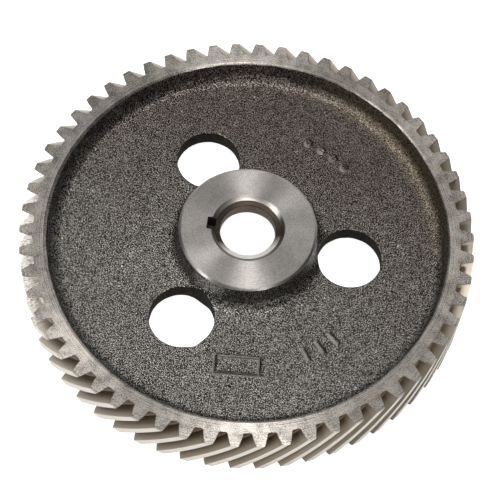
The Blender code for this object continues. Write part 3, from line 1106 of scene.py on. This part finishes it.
def floor():
    """A white sweep: paper white to look at, and dimmer as a light, so that the teeth keep their tones."""
    finish, tree = new_finish("white_sweep")
    seen = add(tree, "LightPath").outputs["Is Camera Ray"]
    glow = add(tree, "MapRange", {0: seen, 3: FLOOR_GLOW, 4: 1.0})
    shader = add(
        tree,
        "BsdfPrincipled",
        {
            "Base Color": linear("F4F4F4"),
            "Roughness": 0.9,
            "Specular IOR Level": 0.2,
            "Emission Color": (1, 1, 1, 1),
            "Emission Strength": glow.outputs[0],
        },
    )
    add(tree, "OutputMaterial", {"Surface": shader.outputs[0]})
    bm = bmesh.new()
    bmesh.ops.create_circle(bm, cap_ends=True, segments=96, radius=FLOOR_RADIUS)
    mesh = bpy.data.meshes.new("floor")
    bm.to_mesh(mesh)
    bm.free()
    mesh.materials.append(finish)
    sweep = bpy.data.objects.new("floor", mesh)
    sweep.location.z = REAR_FACE - FLOOR_GAP
    bpy.context.collection.objects.link(sweep)


def surroundings():
    """A pale room: white to look at, dim as a light, with a lit white backdrop low down behind the gear."""
    world = bpy.data.worlds.new("studio")
    bpy.context.scene.world = world
    world.use_nodes = True
    tree = world.node_tree
    tree.nodes.clear()
    towards = add(tree, "TexCoord").outputs["Generated"]
    parts = add(tree, "SeparateXYZ", {0: towards})
    low = add(tree, "MapRange", {0: parts.outputs["Z"], 1: BACKDROP_TOP, 2: BACKDROP_FULL})
    north = {0: parts.outputs["Y"], 1: BACKDROP_SIDE, 2: BACKDROP_MIDDLE, 4: BACKDROP_GLOW}
    behind = add(tree, "MapRange", north)
    glow = add(tree, "Math", {0: low.outputs[0], 1: behind.outputs[0]}, operation="MULTIPLY")
    seen = add(tree, "LightPath").outputs["Is Camera Ray"]
    room = add(tree, "Background", {"Color": linear("FFFFFF"), "Strength": glow.outputs[0]})
    sight = add(tree, "Background", {"Color": linear("FFFFFF"), "Strength": PAPER_WHITE})
    both = add(tree, "MixShader", {0: seen, 1: room.outputs[0], 2: sight.outputs[0]})
    add(tree, "OutputWorld", {"Surface": both.outputs[0]})


# Name, azimuth (0 is east, 90 is north) and elevation in degrees, and power in watts of each light
LIGHTS = (
    ("overhead", 0, 90, 3.0),
    ("high_south_east", 300, 80, 5.8),
    ("high_north_east", 60, 80, 0.7),
    ("upper_north_east", 45, 70, 0.8),
    ("upper_north_west", 135, 70, 1.0),
    ("west", 180, 60, 5.2),
    ("north_west", 120, 60, 0.9),
    ("north_east", 60, 60, 1.0),
    ("low_south_west", 220, 30, 4.5),
    ("low_south_east", 300, 12, 5.0),
)
LIGHT_DISTANCE = 1.6
LIGHT_SIZE = 0.3


def soft_lights():
    """Round lamps about the gear, as wide as softboxes, each turned to it."""
    for name, azimuth, elevation, power in LIGHTS:
        lamp = bpy.data.lights.new(name, "AREA")
        lamp.shape = "DISK"
        lamp.size = LIGHT_SIZE
        lamp.energy = power
        light = bpy.data.objects.new(name, lamp)
        towards = Vector((*polar(cos(radians(elevation)), radians(azimuth)), sin(radians(elevation))))
        light.location = towards * LIGHT_DISTANCE
        light.rotation_euler = towards.to_track_quat("Z", "Y").to_euler()
        bpy.context.collection.objects.link(light)


# Where the photograph was taken from, fitted to its tooth outline, rim, holes and hub. Its angles in degrees
FOCAL_LENGTH = 122.4
SENSOR_WIDTH = 36
CAMERA_PLACE = Vector((18.33, -282.98, 551.35)) * MM
CAMERA_HEADING = 3.43
CAMERA_LOOKS_DOWN = 62.436
CAMERA_ROLL = 4.926


def camera():
    """The camera, at the photograph's own viewpoint."""
    lens = bpy.data.cameras.new("camera")
    lens.lens = FOCAL_LENGTH
    lens.sensor_width = SENSOR_WIDTH
    lens.clip_end = 20
    eye = bpy.data.objects.new("camera", lens)
    turn = (
        Matrix.Rotation(radians(CAMERA_HEADING), 3, "Z")
        @ Matrix.Rotation(radians(90 - CAMERA_LOOKS_DOWN), 3, "X")
        @ Matrix.Rotation(radians(CAMERA_ROLL), 3, "Z")
    )
    eye.rotation_euler = turn.to_euler()
    eye.location = CAMERA_PLACE
    bpy.context.collection.objects.link(eye)
    bpy.context.scene.camera = eye


def build():
    """The gear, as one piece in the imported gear's place."""
    finishes = (
        sand_cast_iron(),
        cored_hole_wall(),
        turned_iron("faced_rim", bright="DAD3CA", dull="645D57", rough=0.38, feed=0.5 * MM, mottle=0.25),
        hobbed_teeth(),
        turned_iron("turned_hub", bright="C0BBB6", dull="9C9793", rough=0.37, feed=0.35 * MM, mottle=0.2),
        # Each bored finish has painted light: its own tone on one side of its round
        bored_iron("bore_chamfer", radians(98), lit_tone="D6D1CA", mottled_tones=("686159", "787067"), rough=0.33),
        bored_iron("bore_cone", radians(285), lit_tone="FFFDF8", mottled_tones=("453D35", "524A41"), rough=0.5),
        bored_iron("bore_wall", radians(0), lit_tone="6C695D", mottled_tones=("665447", "7C7263"), rough=0.45),
        broached_keyway(),
    )
    gear = bpy.data.objects.new("camshaft_gear_casting", gear_mesh(finishes))
    bpy.context.collection.objects.link(gear)
    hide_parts("camshaft_gear")
    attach(gear, "root")


bpy.context.scene.view_settings.view_transform = "Standard"
camera()
surroundings()
soft_lights()
floor()
build()
